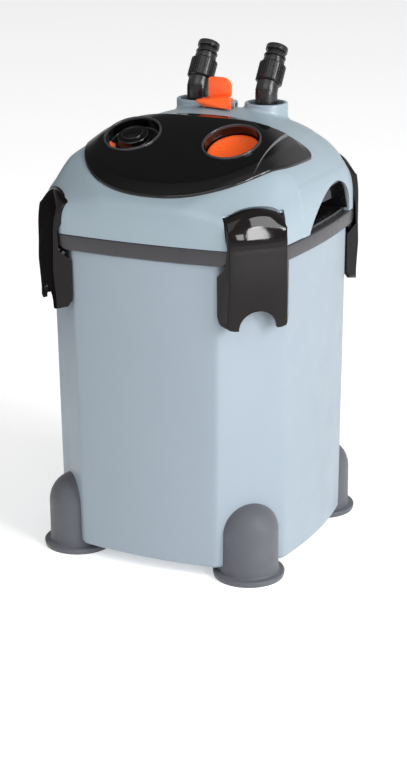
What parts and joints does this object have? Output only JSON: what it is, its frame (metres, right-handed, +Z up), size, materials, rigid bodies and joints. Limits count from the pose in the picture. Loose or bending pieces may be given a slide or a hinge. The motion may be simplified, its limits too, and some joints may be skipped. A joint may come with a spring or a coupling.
{
  "type": "canister filter",
  "caption": "Square external canister filter with a domed motor head, corner catches, swivelling hose tails, a valve lever and rubber feet.",
  "frame": {"origin": "centre of the footprint, on the floor under the feet", "axes": "+Z up, the control panel faces -Y, the hoses leave at +Y"},
  "size_m": [0.1912, 0.1912, 0.3498],
  "materials": {
    "canister_shell": "satin injection moulded",
    "head_shell": "satin injection moulded",
    "band": "satin moulded",
    "panel_gloss": "polished",
    "latch_gloss": "polished",
    "hose_fitting": "satin moulded",
    "dark_plastic": "moulded",
    "inner_plastic": "moulded",
    "orange": "satin moulded",
    "soft_seal": "moulded",
    "foot_rubber": "moulded, matt",
    "steel": "turned",
    "ceramic": "fired",
    "glass": "clear",
    "basket": "moulded",
    "sponge": "open cell foam"
  },
  "bodies": {
    "canister": {"canister": "canister_shell", "rim_band": "band", "foot_fl": "foot_rubber", "foot_fr": "foot_rubber", "foot_rl": "foot_rubber", "foot_rr": "foot_rubber", "foot_screws": "steel", "basket_low": "basket", "basket_mid": "basket", "basket_top": "basket", "coarse_sponge": "sponge", "ceramic_media": "ceramic", "fine_pad": "sponge", "intake_riser": "dark_plastic"},
    "head": {"seal_ring": "soft_seal", "head_deck": "dark_plastic", "head_shell": "head_shell", "control_panel": "panel_gloss", "bezel_left": "panel_gloss", "bezel_right": "panel_gloss", "knob_cup": "dark_plastic", "knob_ring": "orange", "prime_cup": "dark_plastic", "port_block": "dark_plastic", "collar_left": "head_shell", "collar_right": "head_shell", "lever_bracket": "dark_plastic", "lever_pin": "steel", "tail_seals": "soft_seal", "handle_insert_left": "dark_plastic", "handle_insert_right": "dark_plastic", "latch_pins": "steel", "motor_housing": "dark_plastic", "impeller_shaft": "ceramic", "pump_chamber": "dark_plastic", "chamber_cover": "dark_plastic", "cover_screws": "steel", "lamp_holder": "dark_plastic", "uv_lamp": "glass", "quartz_sleeve": "glass", "cord_gland": "soft_seal"},
    "dial": {"knob": "dark_plastic"},
    "primer": {"prime_button": "orange"},
    "valve": {"valve_spindle": "inner_plastic"},
    "valve_handle": {"lever": "orange"},
    "tail_left": {"hose_tail_left": "hose_fitting"},
    "tail_right": {"hose_tail_right": "hose_fitting"},
    "nut_left": {"hose_nut_left": "hose_fitting"},
    "nut_right": {"hose_nut_right": "hose_fitting"},
    "rotor": {"impeller": "inner_plastic"},
    "catch_rr": {"latch_rr": "latch_gloss", "latch_hook_rr": "dark_plastic"},
    "catch_rl": {"latch_rl": "latch_gloss", "latch_hook_rl": "dark_plastic"},
    "catch_fl": {"latch_fl": "latch_gloss", "latch_hook_fl": "dark_plastic"},
    "catch_fr": {"latch_fr": "latch_gloss", "latch_hook_fr": "dark_plastic"}
  },
  "joints": [
    {"name": "lid_lift", "type": "slide", "parent": "canister", "child": "head", "axis": [0, 0, 1], "range_m": [0, 0.045]},
    {"name": "catch_rr_hinge", "type": "hinge", "parent": "head", "child": "catch_rr", "pos_m": [0.0734, 0.0734, 0.26755], "axis": [0.7071, -0.7071, 0], "range_deg": [0, 103.18]},
    {"name": "catch_rl_hinge", "type": "hinge", "parent": "head", "child": "catch_rl", "pos_m": [-0.0734, 0.0734, 0.26755], "axis": [0.7071, 0.7071, 0], "range_deg": [0, 103.18]},
    {"name": "catch_fl_hinge", "type": "hinge", "parent": "head", "child": "catch_fl", "pos_m": [-0.0734, -0.0734, 0.25755], "axis": [-0.7071, 0.7071, 0], "range_deg": [0, 103.18]},
    {"name": "catch_fr_hinge", "type": "hinge", "parent": "head", "child": "catch_fr", "pos_m": [0.0734, -0.0734, 0.25755], "axis": [-0.7071, -0.7071, 0], "range_deg": [0, 103.18]},
    {"name": "dial_turn", "type": "hinge", "parent": "head", "child": "dial", "pos_m": [-0.0375, -0.029, 0.2945], "axis": [0, -0.4147, 0.91], "range_deg": [-135, 135]},
    {"name": "primer_press", "type": "slide", "parent": "head", "child": "primer", "axis": [0, 0.4147, -0.91], "range_m": [0, 0.005], "stiffness_N_per_m": 300},
    {"name": "handle_turn", "type": "hinge", "parent": "head", "child": "valve_handle", "pos_m": [-0.0022, 0.038, 0.308], "axis": [-1, 0, 0], "range_deg": [0, 75]},
    {"name": "valve_turn", "type": "hinge", "parent": "head", "child": "valve", "pos_m": [0, 0.054, 0.266], "axis": [-1, 0, 0], "range_deg": [0, 90]},
    {"name": "tail_left_swivel", "type": "hinge", "parent": "head", "child": "tail_left", "pos_m": [-0.027, 0.054, 0.3], "axis": [0, 0, 1], "range_deg": [-30, 30]},
    {"name": "tail_right_swivel", "type": "hinge", "parent": "head", "child": "tail_right", "pos_m": [0.027, 0.054, 0.3], "axis": [0, 0, 1], "range_deg": [-30, 30]},
    {"name": "nut_left_turn", "type": "hinge", "parent": "tail_left", "child": "nut_left", "pos_m": [-0.027, 0.054, 0.3165], "axis": [0, 0.5736, 0.8192], "range_deg": [0, 270]},
    {"name": "nut_right_turn", "type": "hinge", "parent": "tail_right", "child": "nut_right", "pos_m": [0.027, 0.054, 0.3165], "axis": [0, 0.5736, 0.8192], "range_deg": [0, 270]},
    {"name": "rotor_spin", "type": "hinge", "parent": "head", "child": "rotor", "pos_m": [0, 0, 0.23], "axis": [0, 0, 1], "continuous": true}
  ],
  "couplings": [
    {"joint": "catch_rr_hinge", "follows": "lid_lift", "rad_per_m": 40},
    {"joint": "catch_rl_hinge", "follows": "lid_lift", "rad_per_m": 40},
    {"joint": "catch_fl_hinge", "follows": "lid_lift", "rad_per_m": 40},
    {"joint": "catch_fr_hinge", "follows": "lid_lift", "rad_per_m": 40},
    {"joint": "valve_turn", "follows": "handle_turn", "ratio": 1.2}
  ]
}
